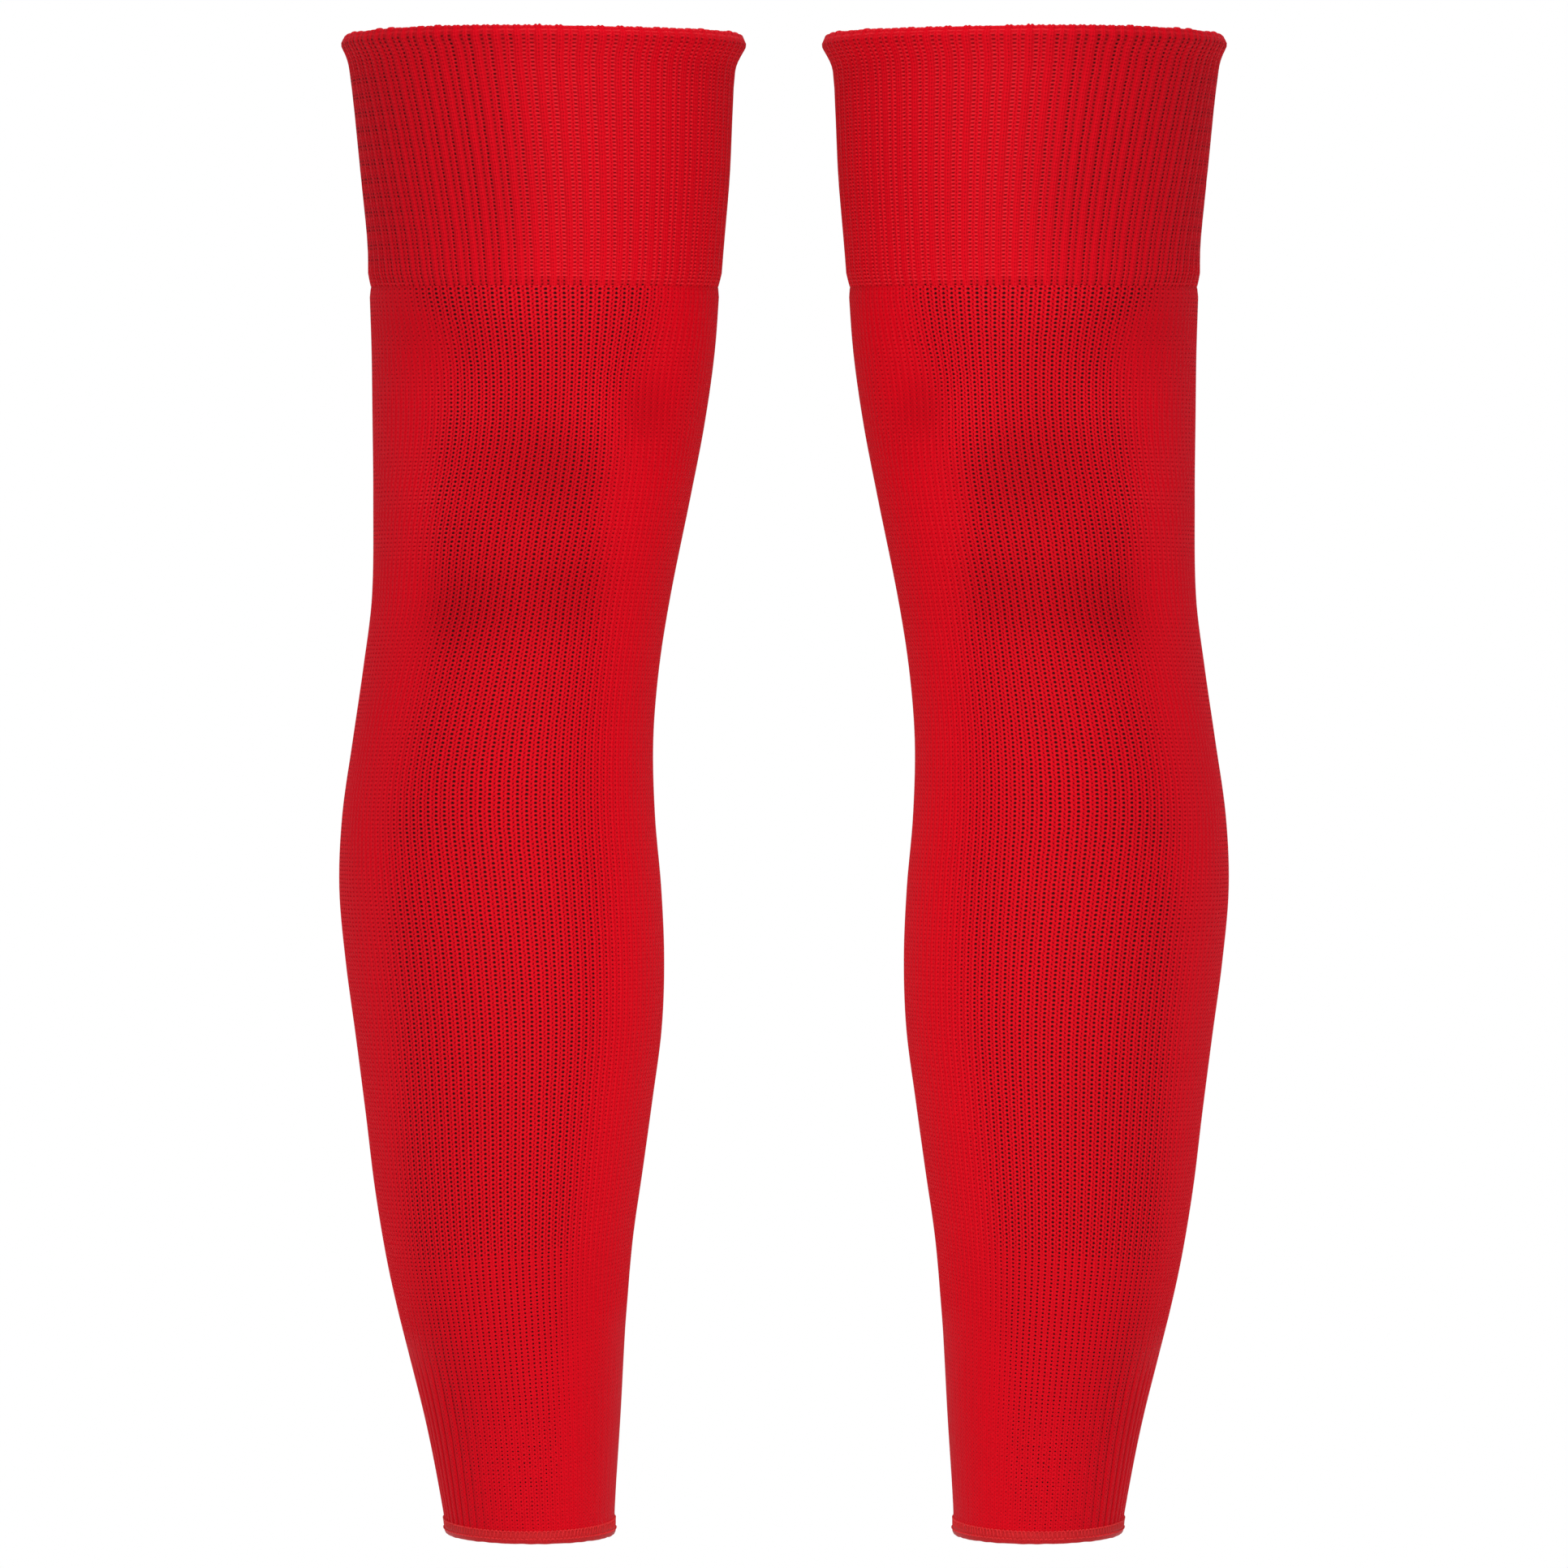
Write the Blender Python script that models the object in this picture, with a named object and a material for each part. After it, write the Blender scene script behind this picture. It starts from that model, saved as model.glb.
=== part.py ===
"""A pair of knitted leg warmers, hollow and filled out to the shape of the legs that wear them.

Each sleeve is a tube in four pieces: a ribbed cuff above the knee, a plain leg, a ribbed ankle and an
overlocked hem. Lengths in the tables are millimetres; heights run up from the lowest edge of the hem.
"""

import math
from collections import namedtuple

import bmesh
import bpy

MM = 0.001

# Driving sizes
LENGTH = 559.5
AXIS_SPACING = 180.0
GRIP_HEIGHT = 515.0
SEAM_GAP = 0.3
RIBS = 60
LEG_COLUMNS = 40
HEM_COLUMNS = 40

# Heights where one piece ends and the next begins
HEM_TOP = 8.5
ANKLE_TOP = 73.0
LEG_TOP = 468.0

# The outline all round at each height: how far the cloth lies from the sleeve's upright axis on the
# outer side, the inner side, the front and the back. dip is how much lower a course of the knit runs at
# the front than at the sides, and lean how much lower it runs at the outer side than at the front.
Section = namedtuple("Section", "height outer inner front back dip lean")
SECTIONS = [
    Section(0, 36.4, 27.0, 41.5, 43.5, 0.2, -0.3),
    Section(9, 37.3, 26.8, 41.5, 44.0, 2.0, 0.0),
    Section(42, 43.5, 28.9, 40.5, 45.5, 2.0, 1.5),
    Section(78, 51.9, 31.0, 42.0, 50.0, 1.5, 4.0),
    Section(105, 58.0, 33.3, 44.0, 54.0, 1.5, 4.5),
    Section(132, 62.8, 37.0, 46.0, 58.5, 1.0, 3.5),
    Section(159, 66.3, 40.6, 48.5, 63.5, 0.5, 2.5),
    Section(187, 70.1, 44.1, 51.0, 68.0, 0.0, 1.5),
    Section(214, 73.9, 45.0, 53.0, 71.0, 0.0, 0.5),
    Section(241, 76.3, 43.9, 54.0, 72.0, 0.0, 0.0),
    Section(268, 75.1, 41.6, 54.8, 68.5, 0.0, 0.0),
    Section(296, 71.0, 41.0, 55.5, 62.5, 0.0, 0.0),
    Section(323, 66.9, 43.2, 57.0, 57.5, 0.0, 0.0),
    Section(350, 63.5, 47.5, 59.0, 54.5, 0.5, 0.0),
    Section(387, 63.0, 55.0, 62.5, 57.0, 1.0, 0.0),
    Section(414, 63.3, 60.2, 64.5, 60.5, 2.0, 0.0),
    Section(441, 63.8, 64.0, 65.5, 64.0, 3.0, 0.0),
    Section(468, 64.6, 66.0, 67.0, 67.0, 3.5, 0.0),
    Section(482, 64.9, 67.1, 67.5, 68.0, 3.5, 0.0),
    Section(507, 67.4, 69.2, 68.5, 69.5, 3.5, 0.0),
    Section(532, 69.9, 70.3, 70.0, 71.0, 3.0, 0.0),
    Section(546, 71.6, 71.2, 71.5, 72.5, 3.0, 0.0),
    Section(553, 72.9, 73.3, 73.5, 74.0, 3.0, 0.0),
    Section(556, 73.8, 74.4, 74.5, 75.0, 3.0, 0.0),
    Section(560, 73.3, 73.8, 74.5, 75.0, 3.0, 0.0),
]

# Soft rises and hollows of the cloth round the knee. turn is degrees round from the front towards the
# outer side; height_reach and turn_reach are how far the form spreads.
SoftForm = namedtuple("SoftForm", "height height_reach turn turn_reach rise")
KNEE_FORMS = [
    SoftForm(398, 28, 3, 36, 2.0),
    SoftForm(346, 15, 31, 24, -1.8),
    SoftForm(350, 15, -20, 22, -1.8),
    SoftForm(435, 20, -34, 20, -2.4),
    SoftForm(441, 15, 34, 30, -1.8),
]


def spread(low, high, count):
    """Evenly spaced heights from low to high."""
    return [low + (high - low) * step / (count - 1) for step in range(count)]


# Each tube's wall: thick is its thickness, proud how far it stands out from the outline, and rib_depth how
# deep the grooves between its ribs are. The heights are those of the rows of points on its two faces.
Wall = namedtuple("Wall", "name thick proud columns rib_depth outer_heights inner_heights")
CUFF = Wall(
    name="cuff",
    thick=2.6,
    proud=0.6,
    columns=2 * RIBS,
    rib_depth=0.7,
    outer_heights=[LEG_TOP + SEAM_GAP, 507, 546, 553, 556],
    inner_heights=[LEG_TOP + SEAM_GAP, 525, 556],
)
LEG = Wall(
    name="leg",
    thick=1.3,
    proud=0.0,
    columns=LEG_COLUMNS,
    rib_depth=0.0,
    outer_heights=spread(ANKLE_TOP + SEAM_GAP, LEG_TOP, 24),
    inner_heights=spread(ANKLE_TOP + SEAM_GAP, LEG_TOP, 24),
)
ANKLE = Wall(
    name="ankle",
    thick=1.5,
    proud=0.2,
    columns=2 * RIBS,
    rib_depth=0.4,
    outer_heights=[HEM_TOP + SEAM_GAP, 42, ANKLE_TOP],
    inner_heights=[HEM_TOP + SEAM_GAP, 42, ANKLE_TOP],
)

# Points across the cuff's turned rim and round the hem's overlocked band
EdgePoint = namedtuple("EdgePoint", "depth height")
CUFF_RIM = [
    EdgePoint(-0.1, 558.2),
    EdgePoint(0.7, LENGTH),
    EdgePoint(1.5, 558.2),
]
HEM_BAND = [
    EdgePoint(0.0, HEM_TOP),
    EdgePoint(-0.7, 7.0),
    EdgePoint(-0.9, 4.2),
    EdgePoint(-0.3, 1.3),
    EdgePoint(1.2, 0.0),
    EdgePoint(2.6, 1.3),
    EdgePoint(2.9, 4.2),
    EdgePoint(2.6, 7.0),
    EdgePoint(1.2, HEM_TOP),
]

RED = (0.60, 0.008, 0.016, 1.0)
HEM_RED = (0.72, 0.035, 0.035, 1.0)


def smooth_value(height, column):
    """A column of SECTIONS read at a height, along a smooth curve through its rows."""
    last = len(SECTIONS) - 2
    low = max(0, min(last, sum(section.height <= height for section in SECTIONS) - 1))
    around = [SECTIONS[max(0, low - 1)], SECTIONS[low], SECTIONS[low + 1], SECTIONS[min(last + 1, low + 2)]]
    h0, h1, h2, h3 = (section.height for section in around)
    v0, v1, v2, v3 = (getattr(section, column) for section in around)
    span = h2 - h1
    t = max(0.0, min(1.0, (height - h1) / span))
    slope_low = (v2 - v0) / (h2 - h0) * span
    slope_high = (v3 - v1) / (h3 - h1) * span
    return (
        (2 * t**3 - 3 * t**2 + 1) * v1
        + (t**3 - 2 * t**2 + t) * slope_low
        + (3 * t**2 - 2 * t**3) * v2
        + (t**3 - t**2) * slope_high
    )


def soft_rise(height, turn):
    """How far the knee's soft forms lift the cloth at a height and a turn in radians."""
    rise = 0.0
    for form in KNEE_FORMS:
        up = (height - form.height) / form.height_reach
        off_turn = (math.degrees(turn) - form.turn + 180) % 360 - 180
        round_it = off_turn / form.turn_reach
        rise += form.rise * math.exp(-(up**2) - round_it**2)
    return rise


def cloth_point(height, share, depth, side):
    """A point of the cloth, at a depth below its outer face.

    share is how much of the way round the point lies, from the front by the outer side, spread evenly along
    the cloth and not by angle. side is 1 for the wearer's left leg and -1 for the right.
    """
    outer, inner, front, back, dip, lean = (
        smooth_value(height, column) for column in ("outer", "inner", "front", "back", "dip", "lean")
    )
    half_width = (outer + inner) / 2
    half_depth = (front + back) / 2
    even_turn = 2 * math.pi * share
    flatness = (half_width - half_depth) / (half_width + half_depth)
    turn = even_turn - flatness / 2 * math.sin(2 * even_turn)
    across = math.sin(turn)
    ahead = math.cos(turn)
    normal = math.hypot(across / half_width, ahead / half_depth)
    out = soft_rise(height, turn) - depth
    x = (outer - inner) / 2 + half_width * across + out * across / half_width / normal
    y = (back - front) / 2 - half_depth * ahead - out * ahead / half_depth / normal
    drop = dip * max(0.0, ahead) + lean * across
    return (side * x * MM, y * MM, (height - drop - GRIP_HEIGHT) * MM)


def ring(height, depth, columns, side, rib_depth=0.0):
    """One closed row of points round the sleeve. With a rib depth every other column lies in a groove."""
    points = []
    for column in range(columns):
        groove = rib_depth * (column % 2)
        points.append(cloth_point(height, column / columns, depth + groove, side))
    return points


def loft(name, rings, material, parent):
    """A closed band through rings that go up the outside of the wall, over its edge and down the inside."""
    shape = bmesh.new()
    rows = [[shape.verts.new(point) for point in points] for points in rings]
    for row, next_row in zip(rows, rows[1:] + rows[:1]):
        for column in range(len(row)):
            following = (column + 1) % len(row)
            shape.faces.new((row[column], row[following], next_row[following], next_row[column]))
    bmesh.ops.recalc_face_normals(shape, faces=shape.faces)
    mesh = bpy.data.meshes.new(name)
    shape.to_mesh(mesh)
    shape.free()
    mesh.materials.append(material)
    mesh.shade_smooth()
    mesh.set_sharp_from_angle(angle=math.radians(50))
    piece = bpy.data.objects.new(name, mesh)
    piece.parent = parent
    parent.users_collection[0].objects.link(piece)
    return piece


def add_tube(wall, side, label, material, parent, rim=()):
    """A knitted tube: ribbed or plain outside, plain inside, with an optional turned rim at its top."""
    outer = [ring(height, -wall.proud, wall.columns, side, wall.rib_depth) for height in wall.outer_heights]
    over = [ring(point.height, point.depth, wall.columns, side, wall.rib_depth) for point in rim]
    inner = [ring(height, wall.thick - wall.proud, wall.columns, side) for height in wall.inner_heights]
    return loft(f"{wall.name}_{label}", outer + over + inner[::-1], material, parent)


def add_hem(side, label, material, parent):
    """The overlocked edge: a rounded band of thread that stands proud of the cloth on both faces."""
    rings = [ring(point.height, point.depth, HEM_COLUMNS, side) for point in HEM_BAND]
    return loft(f"hem_{label}", rings, material, parent)


def knit_material(name, colour, roughness):
    material = bpy.data.materials.new(name)
    material.use_nodes = True
    shader = material.node_tree.nodes["Principled BSDF"]
    shader.inputs["Base Color"].default_value = colour
    shader.inputs["Roughness"].default_value = roughness
    shader.inputs["Metallic"].default_value = 0.0
    material.diffuse_color = colour
    return material


def add_sleeve(side, label, collection, materials):
    """One leg warmer round its own upright axis, hung from an empty at the height where the cuff grips."""
    axis = bpy.data.objects.new(f"sleeve_{label}", None)
    axis.location.x = side * AXIS_SPACING / 2 * MM
    collection.objects.link(axis)
    add_tube(CUFF, side, label, materials["cuff"], axis, rim=CUFF_RIM)
    add_tube(LEG, side, label, materials["leg"], axis)
    add_tube(ANKLE, side, label, materials["ankle"], axis)
    add_hem(side, label, materials["hem"], axis)


def main():
    for leftover in list(bpy.data.objects):
        bpy.data.objects.remove(leftover)
    collection = bpy.data.collections.new("Leg warmers")
    bpy.context.scene.collection.children.link(collection)
    materials = {
        "cuff": knit_material("Cuff rib knit", RED, 0.85),
        "leg": knit_material("Leg mesh knit", RED, 0.85),
        "ankle": knit_material("Ankle rib knit", RED, 0.85),
        "hem": knit_material("Hem overlock thread", HEM_RED, 0.7),
    }
    for side, label in ((1, "left"), (-1, "right")):
        add_sleeve(side, label, collection, materials)
    bpy.context.view_layer.update()


main()
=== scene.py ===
"""The looks of a pair of red knitted leg warmers, filled out as if worn.

Every knitted piece is a closed, thin wall: a fine outer face that carries the ribs and the columns of
stitches, and a plain inner face. A stitch has a column and a course, and each face carries both as its UV
map, so the materials draw holes, loops and yarn from the knit's own count. Lengths in the tables are
millimetres, and heights run up from the lowest edge of the hem.
"""

import math
from collections import namedtuple

import bpy
import numpy as np
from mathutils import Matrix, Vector


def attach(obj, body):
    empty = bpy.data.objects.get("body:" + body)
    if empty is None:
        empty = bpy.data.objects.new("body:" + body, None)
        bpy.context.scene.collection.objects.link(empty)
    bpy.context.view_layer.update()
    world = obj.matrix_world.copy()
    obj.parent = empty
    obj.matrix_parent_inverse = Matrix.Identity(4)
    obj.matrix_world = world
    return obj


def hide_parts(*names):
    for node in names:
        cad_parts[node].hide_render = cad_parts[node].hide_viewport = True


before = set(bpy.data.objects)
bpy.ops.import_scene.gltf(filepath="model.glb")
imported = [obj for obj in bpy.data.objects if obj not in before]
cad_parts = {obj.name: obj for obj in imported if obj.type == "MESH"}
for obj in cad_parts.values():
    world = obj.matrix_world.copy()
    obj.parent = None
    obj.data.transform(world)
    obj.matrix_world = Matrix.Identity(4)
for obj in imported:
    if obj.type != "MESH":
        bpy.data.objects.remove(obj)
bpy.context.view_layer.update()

MM = 0.001

# Sizes of the pair. GRIP_HEIGHT is where the frame's height 0 lies, about half way up the cuffs.
AXIS_SPACING = 180.0
GRIP_HEIGHT = 515.0
HEM_EDGE = 6.6
ANKLE_TOP = 73.0
MESH_BOTTOM = 108.5
LEG_TOP = 465.6
RIM_TOP = 559.5

# How many columns of stitches and ribs go round, and how tall a course of stitches is
COLUMNS = 120
RIBS = 60
LEG_COURSE = 1.58
ANKLE_COURSE = 1.42
CUFF_COURSE = 1.36

# Where a rib's grooves lie, in ribs from the middle of its wide band
PURL = 0.305

# The hem's overlock: how long a stitch is, the hem's radius that sets how many there are, and a thread's
# radius, sides and the share of its radius that is left at its tips
OVERLOCK_PITCH = 1.65
HEM_RADIUS = 37.0
THREAD_RADIUS = 0.32
THREAD_SIDES = 6
THREAD_TIP = 0.45

# Where the cuff starts to flare below its rim, the radius of the rim's round turn and the steps that it is
# made in, and where the cuff's inner face begins below it
FLARE_FOOT = 546.0
RIM_ROLL = 1.25
RIM_STEPS = 12
INSIDE_TOP = 555.0

# Where two faces meet at more than this angle, the shading shows an edge
SHARP_ANGLE = math.radians(75)

# How far the walls' faces stand out from the outline of the cloth, below 0 for their inner faces
CUFF_FACE = 0.45
CUFF_INSIDE = -2.1
LEG_INSIDE = -1.3

# How deep the outer faces' reliefs are. The cuff's grooves and crease get deeper towards the sides.
COLUMN_RELIEF = 0.16
LEG_CREASE = 0.55
CUFF_CREASE = 0.56
CUFF_CREASE_MORE = 0.28
CUFF_GROOVES = 0.12
CUFF_GROOVES_MORE = 0.34
ANKLE_GROOVES = 0.50

# Up to how many degrees from the outer side the ankle's ribs are clear, and from how many on they are faint
CLEAR_RIBS = 48
FAINT_RIBS = 72

# The outline all round at each height: how far the cloth lies from the sleeve's upright axis on the
# outer side, the inner side, the front and the back. dip is how far a course of the knit drops at the
# front, and lean how far it drops at the outer side and rises at the inner one.
Section = namedtuple("Section", "height outer inner front back dip lean")
SECTIONS = [
    Section(0, 36.4, 27.0, 41.5, 43.5, 0.2, -0.3),
    Section(9, 37.3, 26.8, 41.5, 44.0, 2.0, 0.0),
    Section(42, 43.5, 28.9, 40.5, 45.5, 2.0, 1.5),
    Section(78, 51.9, 31.0, 42.0, 50.0, 1.5, 4.0),
    Section(105, 58.0, 33.3, 44.0, 54.0, 1.5, 4.5),
    Section(132, 62.8, 37.0, 46.0, 58.5, 1.0, 3.5),
    Section(159, 66.3, 40.6, 48.5, 63.5, 0.5, 2.5),
    Section(187, 70.1, 44.1, 51.0, 68.0, 0.0, 1.5),
    Section(214, 73.9, 45.0, 53.0, 71.0, 0.0, 0.5),
    Section(241, 76.3, 43.9, 54.0, 72.0, 0.0, 0.0),
    Section(268, 75.1, 41.6, 54.8, 68.5, 0.0, 0.0),
    Section(296, 71.0, 41.0, 55.5, 62.5, 0.0, 0.0),
    Section(323, 66.9, 43.2, 57.0, 57.5, 0.0, 0.0),
    Section(350, 63.5, 47.5, 59.0, 54.5, 0.5, 0.0),
    Section(387, 63.0, 55.0, 62.5, 57.0, 1.0, 0.0),
    Section(414, 63.3, 60.2, 64.5, 60.5, 2.0, 0.0),
    Section(441, 63.8, 64.0, 65.5, 64.0, 3.0, 0.0),
    Section(468, 64.6, 66.0, 67.0, 67.0, 3.5, 0.0),
    Section(482, 64.9, 67.1, 67.5, 68.0, 3.5, 0.0),
    Section(507, 67.4, 69.2, 68.5, 69.5, 3.5, 0.0),
    Section(532, 69.9, 70.3, 70.0, 71.0, 3.0, 0.0),
    Section(546, 71.6, 71.2, 71.5, 72.5, 3.0, 0.0),
    Section(553, 72.9, 73.3, 73.5, 74.0, 3.0, 0.0),
    Section(556, 73.8, 74.4, 74.5, 75.0, 3.0, 0.0),
    Section(560, 73.3, 73.8, 74.5, 75.0, 3.0, 0.0),
]

# A soft round patch of the cloth. turn is degrees round from the front towards the outer side, and the
# reaches say how far the patch spreads.
Patch = namedtuple("Patch", "height height_reach turn turn_reach amount")

# Rises and hollows of the cloth round the knee, with the amounts in millimetres
SOFT_FORMS = [
    Patch(398, 28, 3, 36, 2.0),
    Patch(346, 15, 31, 24, -1.8),
    Patch(350, 15, -20, 22, -1.8),
    Patch(435, 20, -34, 20, -2.4),
    Patch(441, 15, 34, 30, -1.8),
]

# Where the holes of the knit stand open. middle and reach are degrees round from the front towards the
# outer side, and amount is 1 where the holes are widest and darkest.
Opening = namedtuple("Opening", "height middle reach amount")
OPENINGS = [
    Opening(0, 12, 30, 0.20),
    Opening(20, 12, 34, 0.45),
    Opening(73, 10, 40, 0.72),
    Opening(120, 8, 44, 0.84),
    Opening(250, -2, 44, 0.82),
    Opening(330, -4, 38, 0.85),
    Opening(385, 5, 33, 1.00),
    Opening(420, 1, 34, 0.86),
    Opening(445, -5, 37, 0.92),
    Opening(466, 3, 46, 0.90),
    # On the cuff the holes stand open most towards the outer side, which also darkens that side with painted
    # shade
    Opening(469, 50, 46, 0.65),
    Opening(520, 55, 50, 0.75),
    Opening(560, 55, 45, 0.60),
]

# Over how many degrees an opening fades on both sides of its reach, how open the holes are all round, and
# the share of an opening that shows at the back
OPENING_SOFTNESS = 13.0
OPEN_ALL_ROUND = 0.14
BACK_AMOUNT = 0.75

# Painted shade and painted highlight on the cloth, lighter with an amount below 0: darker in the hollows and
# folds round the knee and at the front of the cuff and the ankle, lighter on the knee's crests and down the
# sides
PAINTED_SHADES = [
    Patch(462, 12, 0, 38, -0.30),
    Patch(448, 26, 48, 22, 0.30),
    Patch(421, 12, -40, 13, 0.45),
    Patch(420, 14, 24, 12, -0.30),
    Patch(416, 18, -24, 11, -0.32),
    Patch(397, 20, -8, 22, 0.42),
    Patch(387, 12, 36, 12, -0.30),
    Patch(400, 50, 56, 24, -0.20),
    Patch(349, 16, -24, 16, 0.30),
    Patch(347, 18, 2, 22, 0.25),
    Patch(344, 15, 27, 18, 0.36),
    Patch(60, 45, 0, 70, 0.10),
    Patch(512, 34, 0, 55, 0.14),
    Patch(240, 200, 78, 26, -0.22),
    Patch(190, 160, -78, 26, -0.20),
]

# By how many columns the cuff's ribs turn towards the front on their way down the outer side
CUFF_TURN = 7.0

# Where the columns of stitches bend aside over the knee, with the amounts in columns
BENDS = [
    Patch(415, 38, 50, 50, 3.3),
    Patch(425, 24, -45, 25, -1.2),
    Patch(282, 38, 30, 42, -1.6),
]

# The camera and the stage, in metres. GRIP_ROW is the photo's row at the frame's height 0, and MIDDLE_Z is
# about half way up the pair.
CAMERA_DISTANCE = 3.0
PHOTO_PIXELS = 1932
GRIP_ROW = 190
PIXEL = 0.303 * MM
PHOTO_CENTRE_Z = (GRIP_ROW - PHOTO_PIXELS / 2) * PIXEL
MIDDLE_Z = -0.235
FLOOR_DROP = 0.09
FLOOR_RADIUS = 0.68
FLOOR_FADE = (0.20, 0.66)

# How strongly the white surroundings light the pair, and the lights, with sizes in metres and power in watts
WORLD_LIGHT = 0.49
Light = namedtuple("Light", "name location size power")
LIGHTS = [
    Light("upper_front_key", (0.0, -2.2, 4.0), (1.5, 1.5), 80.0),
    Light("middle_strip", (0.0, -0.35, MIDDLE_Z), (0.06, 0.8), 0.53),
]


def table_columns(rows):
    """The columns of a table by name, each as an array."""
    return {name: np.array([getattr(row, name) for row in rows], dtype=float) for name in rows[0]._fields}


SECTION_COLUMNS = table_columns(SECTIONS)
OPENING_COLUMNS = table_columns(OPENINGS)


def read_sections(height, name):
    """A column of SECTIONS read at an array of heights, along a smooth curve through its rows."""
    rows = SECTION_COLUMNS["height"]
    values = SECTION_COLUMNS[name]
    slopes = np.empty_like(values)
    slopes[1:-1] = (values[2:] - values[:-2]) / (rows[2:] - rows[:-2])
    slopes[0] = (values[1] - values[0]) / (rows[1] - rows[0])
    slopes[-1] = (values[-1] - values[-2]) / (rows[-1] - rows[-2])
    low = np.clip(np.searchsorted(rows, height, side="right") - 1, 0, len(rows) - 2)
    span = rows[low + 1] - rows[low]
    t = np.clip((height - rows[low]) / span, 0.0, 1.0)
    return (
        (2 * t**3 - 3 * t**2 + 1) * values[low]
        + (t**3 - 2 * t**2 + t) * slopes[low] * span
        + (3 * t**2 - 2 * t**3) * values[low + 1]
        + (t**3 - t**2) * slopes[low + 1] * span
    )


def smooth_step(value, low, high):
    """A smooth step from 0 to 1 as the value goes from low to high."""
    t = np.clip((value - low) / (high - low), 0.0, 1.0)
    return t * t * (3 - 2 * t)


def ramp(distance, length):
    """The share of a length that a distance makes up, from 0 to 1."""
    return min(1.0, max(0.0, distance / length))


def degrees_past(degrees, middle):
    """How far an angle lies past another one, from -180 to 180."""
    return (degrees - middle + 180) % 360 - 180


def degrees_round(share):
    """Degrees round from the front, from -180 to 180, with the outer side at 90."""
    return degrees_past(share * 360, 0)


def spot(height, turn, patch):
    """A soft round weight of 1 at a patch's middle, fading over its reaches."""
    up = (height - patch.height) / patch.height_reach
    aside = degrees_past(np.degrees(turn), patch.turn) / patch.turn_reach
    return np.exp(-(up**2) - aside**2)


def add_patches(patches, height, turn):
    """What all the patches of a table amount to at each point."""
    return sum(patch.amount * spot(height, turn, patch) for patch in patches)


def cloth_turn(height, share):
    """The angle round a section of a point that lies a share of the way round the cloth."""
    half_width = (read_sections(height, "outer") + read_sections(height, "inner")) / 2
    half_depth = (read_sections(height, "front") + read_sections(height, "back")) / 2
    even_turn = 2 * math.pi * share
    flatness = (half_width - half_depth) / (half_width + half_depth)
    return even_turn - flatness / 2 * np.sin(2 * even_turn)


def cloth_points(height, share, rise, side):
    """Points in metres that stand out by a rise from the outline of the cloth.

    share runs from the front by the outer side, and side is 1 for the left sleeve and -1 for the right one.
    """
    outer, inner, front, back, dip, lean = (
        read_sections(height, name) for name in ("outer", "inner", "front", "back", "dip", "lean")
    )
    half_width = (outer + inner) / 2
    half_depth = (front + back) / 2
    turn = cloth_turn(height, share)
    across = np.sin(turn)
    ahead = np.cos(turn)
    normal = np.hypot(across / half_width, ahead / half_depth)
    out = rise + add_patches(SOFT_FORMS, height, turn)
    x = (outer - inner) / 2 + half_width * across + out * across / half_width / normal
    y = (back - front) / 2 - half_depth * ahead - out * ahead / half_depth / normal
    z = height - dip * np.maximum(0.0, ahead) - lean * across - GRIP_HEIGHT
    return np.stack([side * (AXIS_SPACING / 2 + x), y, z], axis=-1) * MM


def courses_at(height):
    """The knit's course at a height, counted from the hem. The leg's courses are taller than the others."""
    ankle = np.minimum(height, MESH_BOTTOM) / ANKLE_COURSE
    leg = np.clip(height - MESH_BOTTOM, 0, LEG_TOP - MESH_BOTTOM) / LEG_COURSE
    cuff = np.maximum(height - LEG_TOP, 0) / CUFF_COURSE
    return ankle + leg + cuff


def openness(height, turn):
    """How far the knit's holes stand open: most at the front and, less so, at the back."""
    middle, reach, amount = (
        np.interp(height, OPENING_COLUMNS["height"], OPENING_COLUMNS[name])
        for name in ("middle", "reach", "amount")
    )
    total = np.full_like(height, OPEN_ALL_ROUND)
    for facing, share in ((0.0, 1.0), (180.0, BACK_AMOUNT)):
        away = np.abs(degrees_past(np.degrees(turn) - facing, middle))
        total += share * amount * (1 - smooth_step(away, reach - OPENING_SOFTNESS, reach + OPENING_SOFTNESS))
    return np.clip(total, 0.0, 1.0)


def leg_bend(height, turn):
    """By how many columns the leg's knit is shifted round the leg."""
    return add_patches(BENDS, height, turn)


def cuff_bend(height, turn):
    """By how many columns the cuff's ribs are shifted, most at the foot of its outer side."""
    down = np.clip((RIM_TOP - height) / (RIM_TOP - LEG_TOP), 0.0, 1.0)
    return CUFF_TURN * down * (0.5 + 0.5 * np.sin(turn)) ** 2


def rib_strength(degrees):
    """How clear the ankle's ribs are at a number of degrees round from the front to the outer side."""
    away = np.abs(degrees_past(degrees, 90))
    return 1.0 - 0.85 * smooth_step(away, CLEAR_RIBS, FAINT_RIBS)


# Reliefs say how far points stand out at a height and a share of the way round, and lifts how far points
# are moved up at that share, all in millimetres.
def no_relief(height, share):
    return np.zeros_like(share)


def no_lift(share):
    return np.zeros_like(share)


def seam_crease(share):
    """How clear the crease at the cuff's seam is: not at all at the front and back, and 1 at the sides."""
    away = np.abs(degrees_round(share))
    return smooth_step(np.minimum(away, 180 - away), 22, 55)


def leg_relief(height, share):
    """Each column of stitches stands up softly, and close under the cuff the cloth sinks into a crease."""
    columns = COLUMN_RELIEF * ramp(height - ANKLE_TOP, 12.0) * np.cos(2 * math.pi * COLUMNS * share)
    near_seam = 1.0 - ramp(LEG_TOP - height, 4.0)
    return columns - LEG_CREASE * near_seam * seam_crease(share)


def groove(ribs, at, half_width):
    """1 in the middle of a groove that each rib has at a place within it, fading to 0 at its edges."""
    away = np.abs((ribs - at + 0.5) % 1.0 - 0.5)
    return 1 - smooth_step(away, 0.0, half_width)


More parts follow.
